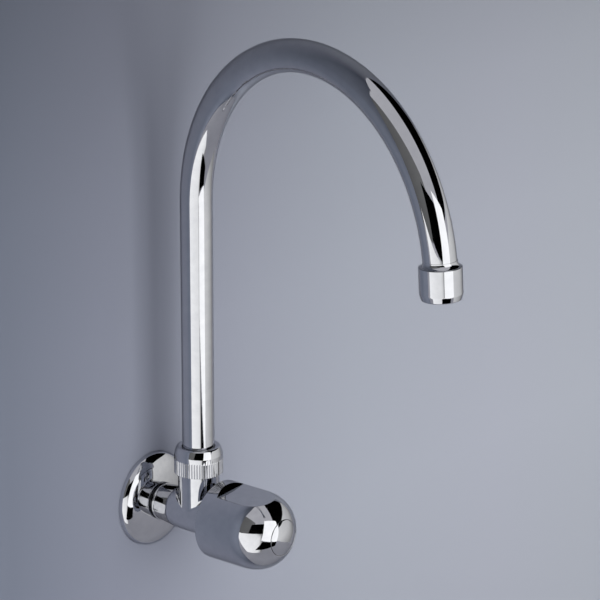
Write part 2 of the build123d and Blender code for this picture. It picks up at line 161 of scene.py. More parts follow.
# Index cap and the groove round it
CAP_R = 10.7
CAP_GAP = 0.22
GROOVE_BEVEL = 0.18
GROOVE_EDGE = 0.06
CAP_PROUD = 0.15
CAP_CROWN = 2.8
CAP_EDGE = 0.3
CAP_THICK = 2.0
CAP_PIN_R = 5.2
CAP_PIN_WALL = 1.2
CAP_PIN_LENGTH = 5.0

# Outlet ferrule and aerator sleeve, along the tube's end
COVER = 5.2
FLARE = 3.4
FLARE_BOW = 0.6
FLARE_LIP_R = 9.675
FLARE_FOOT_R = 11.5
FERRULE_R = 11.0
FERRULE_END = 3.0
SLEEVE_R = 12.1
SLEEVE_END = 13.3
SLEEVE_CHAMFER = 3.6
SLEEVE_CHAMFER_IN = 1.0
SLEEVE_CHAMFER_ROUND = 2.5
SLEEVE_RIM_ROUND = 0.7
SLEEVE_LIP_R = 8.9
SLEEVE_LIP = 1.5
SLEEVE_BORE_R = 10.6

# Roundings of edges, and the gap between threads that screw together
FINE_EDGE = 0.1
TURNED_EDGE = 0.2
POLISHED_EDGE = 0.3
FREE_GAP = 0.03

# Columns round the turned pieces, rows along the tube, and points on a rounded corner
FLANGE_SIDES = 240
BARREL_SIDES = 192
SLEEVE_SIDES = 160
TUBE_SIDES = 128
RISER_ROWS = 9
BEND_ROWS = 119
CORNER_POINTS = 7

# Points that round to the same place are one corner of the mesh
PLACES_PER_MM = 1e4

# Upright's patch: the barrel's columns that it takes up, and its steps on each part of its way
PATCH_COLUMNS = (3, 93)
PATCH_STEPS = np.linspace(0, 1, 8)[1:-1]
BLEND_STEPS = np.linspace(0, 1, 13)

# Axes: out of the wall, of the turned knob, upright and swung spout, at the bend's end, and outlet
FRONT = Matrix(((1, 0, 0, 0), (0, 0, -1, 0), (0, 1, 0, 0), (0, 0, 0, 1)))
KNOB_AXES = FRONT @ Matrix.Rotation(KNOB_REST, 4, "Z")
UPRIGHT = Matrix.Translation((0, -UPRIGHT_OUT, 0))
SWUNG = UPRIGHT @ Matrix.Rotation(SPOUT_REST, 4, "Z")
BEND = Matrix.Translation((0, -NECK_R, NECK_START)) @ Matrix.Rotation(NECK_TURN, 4, "X")
OUTLET = SWUNG @ BEND @ Matrix.Translation((0, NECK_R, 0))

# The camera of the photograph, in millimetres of the tap's frame
VIEW_TURN = np.radians(-49.52)
VIEW_DOWN = np.radians(17.815)
VIEW_ROLL = np.radians(-0.059)
VIEW_TARGET = np.array([0.0, -37.87, 132.87])
VIEW_DISTANCE = 2344.5
VIEW_ASIDE = 60.14
VIEW_BELOW = -0.93
VIEW_LENS = 241.1
VIEW_SENSOR = 36.0

# Real sizes that the patterns follow, in millimetres: how wide each mark is, and how high. The
# lathe's lines and the rubber's grain are really about 0.15 wide, and drawn coarser to show
TUBE_RIPPLE, TUBE_RIPPLE_HEIGHT = 14.0, 0.004
CAST_RIPPLE, CAST_RIPPLE_HEIGHT = 9.0, 0.006
TOOL_LINE, TOOL_LINE_HEIGHT = 0.45, 0.004
HANDLING_PATCH = 4.0
RUBBER_GRAIN, RUBBER_GRAIN_HEIGHT = 0.4, 0.02
FIBRE_LENGTH, FIBRE_HEIGHT = 1.6, 0.03
NYLON_GRAIN, NYLON_GRAIN_HEIGHT = 0.8, 0.01
ACETAL_GRAIN, ACETAL_GRAIN_HEIGHT = 0.6, 0.008
HAZE_IN_RIPPLES = 2.3
DRIFT_IN_GRAINS = 5

# Roughness: of chrome at its clearest and haziest, and how far it changes on other finishes
CHROME_ROUGHNESS = (0.028, 0.055)
HANDLED_ROUGHER = 0.1
GRAIN_ROUGHER = 0.06

# Colours of the metals, and of the stage as (share of the way, colour). The wall's two washes run
# over WALL_ALONG and WALL_ABOVE, in metres, and the wall's colour is their product: its grey-blue
# with painted light and shade, darker towards the left and higher up
CHROME_COLOURS = ("#CFD0D4", "#D6D7DA")
CHROME_SEEN_EDGE_ON = "#BCBCBE"
BRASS_COLOURS = ("#C8A266", "#D9B87C")
WALL_ALONG = (-0.25, 0.75)
# Painted shade along the wall: its grey-blue paint darkens towards the left
WALL_COLOUR_AND_SHADE_ACROSS = [(0.0, "#898F9C"), (0.13, "#7C828F"), (0.22, "#8F93A0"), (0.33, "#A6AAB5"),
               (0.44, "#B4B9C2"), (0.59, "#C1C5CE"), (0.69, "#C7CCD3"), (1.0, "#D2D7E2")]
WALL_ABOVE = (-0.5, 1.5)
# Painted light and shade up the wall: lightest just below the inlet's height, a little darker below
# and much darker above
WALL_PAINTED_SHADE_UPWARD = [(0.0, "#EAEAEA"), (0.15, "#FCFCFC"), (0.225, "#FFFFFF"), (0.30, "#F6F6F6"),
               (0.35, "#E8E8E8"), (0.40, "#CECECE"), (0.425, "#C0C0C0"), (0.5, "#B7B7B7")]
FLOOR_ACROSS = [(0.0, "#D2D2D6"), (1.0, "#D6D6DA")]
FLOOR_UPWARD = [(0.0, "#FFFFFF"), (1.0, "#FFFFFF")]
SURROUNDINGS = [(0.0, "#878790"), (0.25, "#A6A6AE"), (0.5, "#B3B3BA"), (0.8, "#BFBFC4")]

# Wall and floor, in metres. The wall stands a hair behind the flange's rim
WALL_GAP = 0.0002
WALL_LEFT, WALL_RIGHT, WALL_TOP = -0.47, 1.9, 1.5
FLOOR_HALF, FLOOR_FRONT, FLOOR_LEVEL = 2, -3, -1.3

# Studio sheets, as seen from the tap's middle: distance in metres; degrees round from straight out
# of the wall towards -X, and degrees up, of the lower left, lower right, upper right and upper left
# corners; light at the left and right edge; and the share of the width that fades at the right edge
STUDIO_MIDDLE = np.array([0, -0.1, 0.12])
FADED_LIGHT = 0.25
STUDIO_SHEETS = {
    "softbox_front": (
        0.84, [(33.9, -18.6), (-4.1, -26.9), (-20.5, 23.4), (16.7, 34.7)], (1.40, 1.45), 0),
    "softbox_left": (
        0.95, [(81.7, -50.2), (29.4, -50.4), (29.9, 1.5), (107, 1)], (1.28, 0.95), 0.32),
    "flag_low": (
        0.89, [(50.8, -44.4), (-2.1, -38.2), (-4.2, -26.4), (29.9, -22.1)], (0, 0), 0),
    "flag_high_left": (
        1.3, [(72.7, 3.9), (13.7, -0.5), (20.5, 27.9), (64.6, 28.8)], (0, 0), 0),
    "dim_sheet_left": (
        2.06, [(130, -8), (47, 6.1), (51.3, 36.1), (130, 45.9)], (0.10, 0.18), 0),
    "reflector_right": (
        0.80, [(-5.6, -23.2), (-68.2, -35.0), (-110, 17.0), (-14.9, 8.4)], (0.86, 0.30), 0),
    "flag_high_right": (
        1.46, [(-6.3, 14.0), (-101, 6.0), (-108, 68.7), (-40.3, 64.4)], (0, 0), 0),
}

# Main lamp, in metres and watts: large and soft, in front of the tap and a little to its left
LAMP_PLACE = Vector((-0.20, -0.85, 0.14))
LAMP_AIM = Vector((0, 0, 0.12))
LAMP_WIDTH, LAMP_HEIGHT = 0.70, 0.8
LAMP_POWER = 5.2


# Outlines of turned pieces: rows of (radius, height, rounding), or of (radius, height, 0, normal)
# on curves, anticlockwise with the radius to the right, so that the material lies on the left

def curve(spots, normals):
    """Outline rows of a curve from its points and their normals."""
    normals = normals / np.linalg.norm(normals, axis=1, keepdims=True)
    return np.concatenate([spots, np.zeros((len(spots), 1)), normals], 1)


def spline(points, start, end, steps):
    """A clamped cubic through outline points. Between two points it is the cubic of their slopes,
    and the inner slopes are the ones that keep its bend continuous."""
    points = np.array(points, float)
    gap = np.linalg.norm(np.diff(points, axis=0), axis=1)
    pull, push = np.eye(len(points)), np.zeros((len(points), 2))
    push[0], push[-1] = (np.array(way, float) / np.linalg.norm(way) for way in (start, end))
    for i in range(1, len(points) - 1):
        before, after = gap[i - 1], gap[i]
        pull[i, i - 1:i + 2] = 1 / before, 2 / before + 2 / after, 1 / after
        push[i] = (3 * (points[i] - points[i - 1]) / before**2
                   + 3 * (points[i + 1] - points[i]) / after**2)
    slope = np.linalg.solve(pull, push)
    t = np.linspace(0, len(gap), len(gap) * steps + 1)
    span = np.minimum(t.astype(int), len(gap) - 1)
    t = (t - span)[:, None]
    p, q = points[span], points[span + 1]
    m, n = slope[span] * gap[span, None], slope[span + 1] * gap[span, None]
    spots = ((2 * t**3 - 3 * t**2 + 1) * p + (t**3 - 2 * t**2 + t) * m
             + (3 * t**2 - 2 * t**3) * q + (t**3 - t**2) * n)
    way = (6 * t**2 - 6 * t) * (p - q) + (3 * t**2 - 4 * t + 1) * m + (3 * t**2 - 2 * t) * n
    return curve(spots, np.stack([way[:, 1], -way[:, 0]], -1))


def run(start, end, steps):
    """Outline rows along a straight side, which give its surface points to carry a pattern."""
    way = np.array(end, float) - start
    spots = start + np.linspace(0, 1, steps + 1)[:, None] * way
    return curve(spots, np.tile([way[1], -way[0]], (steps + 1, 1)))


def arc(start, end, bow, steps=16):
    """A round arc between two outline points. Its middle stands off their chord by bow, to the
    right of the way, so its radius is (half the chord squared + bow squared) / (2 bow)."""
    start, end = np.array(start, float), np.array(end, float)
    half = np.linalg.norm(end - start) / 2
    way = (end - start) / (2 * half)
    side = np.array([way[1], -way[0]])
    radius = (half**2 + bow**2) / (2 * bow)
    spin = np.arcsin(half / radius) * np.linspace(-1, 1, steps + 1)[:, None]
    out = side * np.cos(spin) + way * np.sin(spin)
    return curve((start + end) / 2 - side * (radius - bow) + radius * out, out)


def flat_dome(radius, depth, power, inner, steps=48):
    """A flattened dome, rim to inner radius: (r / radius)^power + (h / depth)^power = 1."""
    last = np.arccos((inner / radius) ** (power / 2))
    a = np.linspace(0, last, steps + 1)
    across, out = np.cos(a) ** (2 / power), np.sin(a) ** (2 / power)
    normals = np.stack([across ** (power - 1) / radius, out ** (power - 1) / depth], -1)
    return curve(np.stack([radius * across, depth * out], -1), normals)


def outline(*pieces, closed=True):
    """Points and normals of an outline. A rounded corner becomes an arc between its sides."""
    rows = []
    for piece in pieces:
        piece = np.atleast_2d(np.array(piece, float))
        full = np.tile([0, 0, 0, np.nan, np.nan], (len(piece), 1))
        full[:, :piece.shape[1]] = piece
        rows.append(full)
    rows = np.concatenate(rows)
    after = np.roll(rows[:, :2], -1, 0) - rows[:, :2]
    if not closed:
        after[-1] = after[-2]
    length = np.linalg.norm(after, axis=1, keepdims=True)
    after = after / length
    before, length_before = np.roll(after, 1, 0), np.roll(length, 1, 0)
    if not closed:
        before[0] = after[0]
    way = after * length_before + before * length
    way /= np.linalg.norm(way, axis=1, keepdims=True)
    normal = np.where(np.isnan(rows[:, 3:]), np.stack([way[:, 1], -way[:, 0]], -1), rows[:, 3:])
    points, normals = [], []
    for spot, rounding, to, off, out in zip(rows[:, :2], rows[:, 2], before, after, normal):
        if rounding:
            turn = np.arctan2(to[0] * off[1] - to[1] * off[0], to @ off)
            spin = np.linspace(0, turn, CORNER_POINTS)[:, None]
            first = np.array([to[1], -to[0]])
            out = first * np.cos(spin) + to * np.sin(spin)
            spot = (spot - to * rounding * abs(np.tan(turn / 2))
                    + np.sign(turn) * rounding * (out - first))
        points.append(np.atleast_2d(spot))
        normals.append(np.atleast_2d(out))
    return np.concatenate(points), np.concatenate(normals)


# Surfaces as grids of points and normals

def around(sides):
    """Even angles of a full turn."""
    return np.linspace(0, 2 * np.pi, sides, endpoint=False)


def turned(points, normals, angle):
    """Carries an outline round Z: (r, h) goes to (r cos a, r sin a, h)."""
    ring = np.stack([np.cos(angle), np.sin(angle)], -1)
    grids = []
    for pair in (points, normals):
        height = np.broadcast_to(pair[:, None, 1:], (len(pair), len(angle), 1))
        grids.append(np.concatenate([pair[:, None, :1] * ring, height], -1))
    return grids


def radius_and_height(grid):
    """Each point's distance from Z, and its height."""
    return np.linalg.norm(grid[..., :2], axis=-1), grid[..., 2]


def reach(grid, radius):
    """Moves a turned grid's points to new distances from Z."""
    old = radius_and_height(grid)[0]
    return grid * np.stack([radius / old, radius / old, np.ones_like(old)], -1)


def relief_normals(grid, normals, changed):
    """A closed grid's normals where it was changed: square to the lines between neighbours."""
    across = np.cross(np.roll(grid, -1, 1) - np.roll(grid, 1, 1),
                      np.roll(grid, -1, 0) - np.roll(grid, 1, 0))
    across /= np.linalg.norm(across, axis=-1, keepdims=True)
    across *= np.sign((across * normals).sum(-1, keepdims=True))
    near = changed.copy()
    for axis in (0, 1):
        near |= np.roll(changed, 1, axis) | np.roll(changed, -1, axis)
    return np.where(near[..., None], across, normals)


def quads_of(points, normals, closed=True, hole=None):
    """Corner numbers of a grid's quads, facing along its normals. Columns close; rows may."""
    rows, columns = points.shape[:2]
    number = np.arange(rows * columns).reshape(rows, columns)
    number = np.concatenate([number, number[:, :1]], 1)
    if closed:
        number = np.concatenate([number, number[:1]])
    quads = np.stack([number[:-1, :-1], number[:-1, 1:], number[1:, 1:], number[1:, :-1]], -1)
    if hole is not None:
        quads = quads[~hole]
    quads = quads.reshape(-1, 4)
    flat = points.reshape(-1, 3)
    across = np.cross(flat[quads[:, 2]] - flat[quads[:, 0]], flat[quads[:, 3]] - flat[quads[:, 1]])
    facing = (across * normals.reshape(-1, 3)[quads[:, 0]]).sum()
    return quads if facing > 0 else quads[:, ::-1]


def skin(name, node, material, matrix, *patches):
    """One closed piece from grids, instead of a CAD node. Points in the same place become one,
    which closes seams, shared borders and poles; a quad with two such corners becomes a triangle.
    It keeps the surfaces' own normals."""
    points = np.concatenate([patch[0].reshape(-1, 3) for patch in patches])
    normals = np.concatenate([patch[1].reshape(-1, 3) for patch in patches])
    starts = np.cumsum([0] + [patch[0].size // 3 for patch in patches])
    quads = np.concatenate([quads_of(*patch) + start for patch, start in zip(patches, starts)])
    places = np.round(points * PLACES_PER_MM).astype(np.int64)
    _, first, same = np.unique(places, axis=0, return_index=True, return_inverse=True)
    quads = same.reshape(-1)[quads]
    pinched = quads == np.roll(quads, -1, 1)
    faces = quads[~pinched.any(1)].tolist()
    for corner in range(4):
        faces += np.delete(quads[pinched[:, corner] & (pinched.sum(1) == 1)], corner, 1).tolist()
    matrix = np.array(matrix)
    corners = (points[first] @ matrix[:3, :3].T + matrix[:3, 3]) * MM
    mesh = bpy.data.meshes.new(name)
    mesh.from_pydata(corners.tolist(), [], faces, shade_flat=False)
    mesh.normals_split_custom_set_from_vertices((normals[first] @ matrix[:3, :3].T).tolist())
    mesh.materials.append(material)
    piece = bpy.data.objects.new(name, mesh)
    bpy.context.scene.collection.objects.link(piece)
    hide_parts(node)
    bodies = frame["record"]["behaviour"]["bodies"]
    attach(piece, next(body for body, nodes in bodies.items() if node in nodes))
    return piece


# Materials. Nearly all of a noise lies within NOISE_SPAN, so ranges and ramps run over that

NOISE_SPAN = {"From_Min": 0.3, "From_Max": 0.7}
DRIFT_SPAN = (0.35, 0.65)


def linear(colour):
    """Linear RGBA of an sRGB hex colour."""
    value = np.array([int(colour[i:i + 2], 16) for i in (1, 3, 5)]) / 255
    value = np.where(value <= 0.04045, value / 12.92, ((value + 0.055) / 1.055) ** 2.4)
    return (*value, 1.0)


def add(tree, kind, settings=None, stops=(), **sockets):
    """Adds a node. Settings are its own properties, and stops the (position, colour) pairs of a
    ramp. Sockets are numbers, colours or other nodes' outputs, each under its input's name, or _
    and its input's number."""
    node = tree.nodes.new("ShaderNode" + kind)
    for name, value in (settings or {}).items():
        setattr(node, name, value)
    if stops:
        band = node.color_ramp.elements
        band[0].position, band[1].position = stops[0][0], stops[-1][0]
        for position, _ in stops[1:-1]:
            band.new(position)
        for element, (_, colour) in zip(band, stops):
            element.color = linear(colour)
    for name, value in sockets.items():
        socket = node.inputs[int(name[1:]) if name[1:].isdigit() else name.replace("_", " ")]
        if isinstance(value, bpy.types.NodeSocket):
            tree.links.new(value, socket)
        else:
            socket.default_value = value
    return node


def new_material(name):
    """An empty node material."""
    material = bpy.data.materials.new(name)
    material.use_nodes = True
    material.node_tree.nodes.clear()
    return material, material.node_tree


def in_units_of(tree, size, stretch=(1, 1, 1)):
    """Object coordinates divided so that one unit of a pattern is size millimetres, times stretch
    on each axis."""
    spot = add(tree, "TexCoord")
    scale = [1 / (size * part * MM) for part in stretch]
    return add(tree, "Mapping", Vector=spot.outputs["Object"], Scale=scale).outputs[0]


def chrome(name, ripple, height):
    """Bright chromium plate on polished metal: a mirror with a cool cast that is duller seen edge
    on, the faint ripple that the buffing wheel leaves, and a little haze that comes and goes."""
    material, tree = new_material(name)
    wave = add(tree, "TexNoise", Vector=in_units_of(tree, ripple), Detail=1.5, Roughness=0.4)
    bump = add(tree, "Bump", Height=wave.outputs["Fac"], Distance=height * MM, Strength=1.0)
    haze = add(tree, "TexNoise", Vector=in_units_of(tree, ripple * HAZE_IN_RIPPLES), Detail=3.0)
    rough = add(tree, "MapRange", Value=haze.outputs["Fac"], **NOISE_SPAN,
                To_Min=CHROME_ROUGHNESS[0], To_Max=CHROME_ROUGHNESS[1])
    tint = add(tree, "ValToRGB", stops=list(zip(NOISE_SPAN.values(), CHROME_COLOURS)),
               Fac=haze.outputs["Fac"])
    shader = add(tree, "BsdfPrincipled", Base_Color=tint.outputs["Color"], Metallic=1.0,
                 Roughness=rough.outputs[0], Specular_Tint=linear(CHROME_SEEN_EDGE_ON),
                 Normal=bump.outputs[0])
    add(tree, "OutputMaterial", Surface=shader.outputs[0])
    return material


def turned_metal(name, colours, roughness, axis):
    """Metal as the lathe left it: satin, with fine rings from the tool round its axis and dull
    patches where hands and water have been. A wave at scale 0.3 has its crests one unit apart."""
    material, tree = new_material(name)
    rings = add(tree, "TexWave", {"wave_type": "BANDS", "bands_direction": axis},
                Vector=in_units_of(tree, TOOL_LINE), Scale=0.3, Distortion=0.6, Detail=2.0)
    bump = add(tree, "Bump", Height=rings.outputs["Fac"], Distance=TOOL_LINE_HEIGHT * MM,
               Strength=0.8)
    patch = add(tree, "TexNoise", Vector=in_units_of(tree, HANDLING_PATCH), Detail=4.0)
    tint = add(tree, "ValToRGB", stops=list(zip(NOISE_SPAN.values(), colours)),
               Fac=patch.outputs["Fac"])
    rough = add(tree, "MapRange", Value=patch.outputs["Fac"], **NOISE_SPAN,
                To_Min=roughness, To_Max=roughness + HANDLED_ROUGHER)
    shader = add(tree, "BsdfPrincipled", Base_Color=tint.outputs["Color"], Metallic=1.0,
                 Roughness=rough.outputs[0], Normal=bump.outputs[0])
    add(tree, "OutputMaterial", Surface=shader.outputs[0])
    return material


def moulded(name, colours, roughness, grain, height, stretch=(1, 1, 1)):
    """A soft or moulded non-metal: a fine grain in its height, and colour that drifts slightly."""
    material, tree = new_material(name)
    fine = add(tree, "TexNoise", Vector=in_units_of(tree, grain, stretch), Detail=4.0,
               Roughness=0.6)
    bump = add(tree, "Bump", Height=fine.outputs["Fac"], Distance=height * MM, Strength=0.6)
    drift = add(tree, "TexNoise", Vector=in_units_of(tree, grain * DRIFT_IN_GRAINS, stretch),
                Detail=3.0)
    tint = add(tree, "ValToRGB", stops=list(zip(DRIFT_SPAN, colours)), Fac=drift.outputs["Fac"])
    rough = add(tree, "MapRange", Value=fine.outputs["Fac"], **NOISE_SPAN,
                To_Min=roughness - GRAIN_ROUGHER, To_Max=roughness + GRAIN_ROUGHER)
    shader = add(tree, "BsdfPrincipled", Base_Color=tint.outputs["Color"],
                 Roughness=rough.outputs[0], Normal=bump.outputs[0])
    add(tree, "OutputMaterial", Surface=shader.outputs[0])
    return material


# Camera

def place_camera():
    """The photograph's camera: turned and tilted towards the target, moved aside, and rolled."""
    level = np.cos(VIEW_DOWN)
    back = np.array([np.sin(VIEW_TURN) * level, -np.cos(VIEW_TURN) * level, np.sin(VIEW_DOWN)])
    right = np.array([np.cos(VIEW_TURN), np.sin(VIEW_TURN), 0.0])
    up = np.cross(back, right)
    matrix = np.eye(4)
    matrix[:3, 0] = np.cos(VIEW_ROLL) * right + np.sin(VIEW_ROLL) * up
    matrix[:3, 1] = -np.sin(VIEW_ROLL) * right + np.cos(VIEW_ROLL) * up
    matrix[:3, 2] = back
    matrix[:3, 3] = (VIEW_TARGET + VIEW_DISTANCE * back + VIEW_ASIDE * right + VIEW_BELOW * up) * MM
    camera_data = bpy.data.cameras.new("camera")
    camera_data.lens = VIEW_LENS
    camera_data.sensor_width = VIEW_SENSOR
    camera_data.clip_start = 0.1
    camera_data.clip_end = 50.0
    camera = bpy.data.objects.new("camera", camera_data)
    bpy.context.scene.collection.objects.link(camera)
    camera.matrix_world = Matrix(matrix.tolist())
    bpy.context.scene.camera = camera


place_camera()
bpy.context.scene.view_settings.view_transform = "Standard"

# Chrome pieces

tube_chrome = chrome("chrome_plate_on_drawn_tube", TUBE_RIPPLE, TUBE_RIPPLE_HEIGHT)
cast_chrome = chrome("chrome_plate_on_cast_brass", CAST_RIPPLE, CAST_RIPPLE_HEIGHT)


def flange_dome():
    """The thin disc on the wall, between two flattened domes, and the height where it ends."""
    outside = flat_dome(FLANGE_R, FLANGE_DEPTH, FLANGE_POWER, FLANGE_HOLE_R)
    inside = flat_dome(FLANGE_R - FLANGE_SHELL, FLANGE_DEPTH - FLANGE_SHELL, FLANGE_POWER,
                       FLANGE_HOLE_R)
    inside = inside[::-1] * [1, 1, 1, -1, -1]
    return turned(*outline(outside, inside), around(FLANGE_SIDES)), outside[-1, 1]


dome_grid, dome_front = flange_dome()
skin("flange_dome", "wall_flange", cast_chrome, FRONT, dome_grid)

ring = outline(
    (RING_INNER_R, dome_front), (RING_NECK_R, dome_front), (RING_NECK_R, BEAD_START),
    (RING_OUTER_R, BEAD_START, BEAD_ROUND), (RING_OUTER_R, RING_END, BEAD_ROUND),
    (RING_INNER_R, RING_END),
)
skin("flange_bead", "flange_ring", tube_chrome, FRONT, turned(*ring, around(BARREL_SIDES)))


def body_barrel():
    """The inlet stub with its thread, the barrel that swells into the boss, and the waterway
    through the seat, all turned about the inlet axis. The thread's radius is its crest less a
    cosine of turn and height, which grows to its full depth over the runout."""
    thread_low = THREAD_CHAMFER - THREAD_LENGTH
    points, normals = outline(
        (INLET_BORE_R, INLET_BORE_END, TURNED_EDGE), (INLET_BORE_R, -THREAD_LENGTH, POLISHED_EDGE),
        run((THREAD_R - THREAD_CHAMFER, -THREAD_LENGTH), (THREAD_R, thread_low), 10),
        run((THREAD_R, thread_low), (THREAD_R, -TURNED_EDGE), THREAD_ROWS)[1:], (THREAD_R, 0),
        (BARREL_R, 0, TURNED_EDGE), run((BARREL_R, 1), (BARREL_R, RING_END), 4)[:-1],
        spline([(BARREL_R, RING_END), (BOSS_R, TAPER_END)], (TAPER_SLOPE, 1), (0, 1), 24),
        run((BOSS_R, TAPER_END), (BOSS_R, BOSS_END - POLISHED_EDGE), 25)[1:],
        (BOSS_R, BOSS_END, POLISHED_EDGE), (INSERT_R, BOSS_END, POLISHED_EDGE),
        (INSERT_R, CHAMBER_FLOOR, TURNED_EDGE), (SEAT_RIM_R, CHAMBER_FLOOR, TURNED_EDGE),
        (SEAT_RIM_R, SEAT_OUT, TURNED_EDGE), (SEAT_R, SEAT_OUT, TURNED_EDGE),
        (SEAT_R, INLET_BORE_END),
    )
    angle = around(BARREL_SIDES)
    grid, out = turned(points, normals, angle)
    radius, height = radius_and_height(grid)
    wave = 0.5 - 0.5 * np.cos(2 * np.pi * height / THREAD_PITCH - angle)
    depth = THREAD_DEPTH * np.interp(-height, THREAD_RUNOUT, (0, 1)) * wave
    thread = (height < -0.1) & (radius > THREAD_R - THREAD_CHAMFER - 0.01)
    grid = reach(grid, np.where(thread, np.minimum(radius, THREAD_R - depth), radius))
    return grid, relief_normals(grid, out, thread), points, normals


def hole_border(rows, columns):
    """Row and column numbers round a hole in a grid: high row, right column, and back."""
    (low, high), (left, right) = rows, columns
    row = np.concatenate([np.full(right - left, high), np.arange(high, low, -1),
                          np.full(right - left, low), np.arange(low, high)])
    column = np.concatenate([np.arange(left, right), np.full(high - low, right),
                             np.arange(right, left, -1), np.full(high - low, left)])
    return row, column


def side_at(height, points, normals):
    """The barrel's radius at a height on its outline, and its normal's parts across and along."""
    values = (points[:, 0], normals[:, 0], normals[:, 1])
    return [np.interp(height, points[:, 1], value) for value in values]


def blend_ball(side, out, points, normals):
    """The ball between barrel and upright, for each direction round the upright: its radius, its
    centre, the height where it touches the barrel, and the barrel's normal there. Its centre is a
    ball's radius off both. It is smaller at the front, where the boss ends close to the upright, by
    a softened minimum."""
    room = (points[-1, 1] - BLEND_MARGIN - UPRIGHT_OUT) / np.maximum(out, 0.05) - UPRIGHT_R
    ball = BLEND_R - np.log1p(np.exp((BLEND_R - room) * BLEND_SOFTNESS)) / BLEND_SOFTNESS
    centre_out = UPRIGHT_OUT + (UPRIGHT_R + ball) * out
    touch = centre_out

    # Each round moves the place of touch along the barrel's normal there, and soon settles
    for _ in range(6):
        touch = centre_out - ball * side_at(touch, points, normals)[2]
    barrel_r, across, along = side_at(touch, points, normals)
    far, aside = barrel_r + ball * across, (UPRIGHT_R + ball) * side
    centre = np.stack([aside, np.sqrt(far**2 - aside**2), centre_out], -1)
    spread = centre[:, :2] / far[:, None]
    return ball, centre, touch, np.concatenate([spread * across[:, None], along[:, None]], 1)


def body_upright(barrel, barrel_out, points, normals, rows, columns):
    """The upright with its cast blend into the barrel. Each column leaves the hole's border in the
    barrel, runs over the barrel to the blend, climbs it as the arc of a ball that touches barrel
    and upright, and goes up the upright, over its top and down into the socket."""
    row, column = hole_border(rows, columns)
    angle, height = around(barrel.shape[1])[column], points[row, 1]
    points, normals = points[rows[0]:rows[1] + 1], normals[rows[0]:rows[1] + 1]
    middle = sum(columns) / 2
    reach_out = np.where(height > UPRIGHT_OUT, points[-1, 1] - UPRIGHT_OUT,
                         UPRIGHT_OUT - points[0, 1])
    turn = np.arctan2((middle - column) / (middle - columns[0]), (height - UPRIGHT_OUT) / reach_out)
    side, out, level = np.sin(turn), np.cos(turn), np.ones(len(turn))
    ball, centre, touch, on_barrel = blend_ball(side, out, points, normals)
    on_upright = np.stack([side, 0 * level, out], -1)

    # Over the barrel
    grids, outs = [barrel[row, column][None]], [barrel_out[row, column][None]]
    touch_angle = np.arctan2(centre[:, 1], centre[:, 0])
    for t in PATCH_STEPS:
        a, h = angle + t * (touch_angle - angle), height + t * (touch - height)
        r, across, along = side_at(h, points, normals)
        grids.append(np.stack([r * np.cos(a), r * np.sin(a), h], -1)[None])
        outs.append(np.stack([across * np.cos(a), across * np.sin(a), along], -1)[None])

    # Up the blend, where the normal turns evenly from the barrel's to the upright's
    spin = np.arccos((on_barrel * on_upright).sum(-1))[:, None]
    t = BLEND_STEPS[:, None, None]
    way = (np.sin((1 - t) * spin) * on_barrel + np.sin(t * spin) * on_upright) / np.sin(spin)
    grids.append(centre - ball[:, None] * way)
    outs.append(way)

    # Up the upright, over its top and into the socket
    top, top_out = outline(
        (UPRIGHT_R, UPRIGHT_SHOULDER - 1), (UPRIGHT_R, UPRIGHT_SHOULDER, POLISHED_EDGE),
        (NUT_THREAD_R, UPRIGHT_SHOULDER, FINE_EDGE), (NUT_THREAD_R, UPRIGHT_TOP, POLISHED_EDGE),
        (SOCKET_R, UPRIGHT_TOP, TURNED_EDGE), (SOCKET_R, SOCKET_FLOOR, TURNED_EDGE),
        (0, SOCKET_FLOOR), closed=False,
    )
    climb = centre[:, 1] + PATCH_STEPS[:, None] * (top[0, 1] - centre[:, 1])
    foot = np.stack([UPRIGHT_R * side, 0 * level, UPRIGHT_OUT + UPRIGHT_R * out], -1)
    grids.append(foot + climb[..., None] * [0, 1, 0])
    outs.append(np.broadcast_to(on_upright, climb.shape + (3,)))
    grids.append(np.stack([top[:, :1] * side, top[:, 1:] * level,
                           UPRIGHT_OUT + top[:, :1] * out], -1))
    outs.append(np.stack([top_out[:, :1] * side, top_out[:, 1:] * level, top_out[:, :1] * out], -1))
    return np.concatenate(grids), np.concatenate(outs)


barrel, barrel_out, barrel_points, barrel_normals = body_barrel()
on_outside = (barrel_points[:, 0] > BARREL_R + 0.01) & (barrel_normals[:, 0] > 0.9)
heights = barrel_points[:, 1]
before_rounding = heights < BOSS_END - POLISHED_EDGE + 0.01
patch = np.flatnonzero(on_outside & (heights > PATCH_START) & before_rounding)
patch_rows = (patch[0], patch[-1])
hole = np.zeros(barrel.shape[:2], bool)
hole[slice(*patch_rows), slice(*PATCH_COLUMNS)] = True
upright = body_upright(barrel, barrel_out, barrel_points, barrel_normals, patch_rows, PATCH_COLUMNS)
skin("tap_body", "valve_body", cast_chrome, FRONT,
     (barrel, barrel_out, True, hole), (*upright, False))


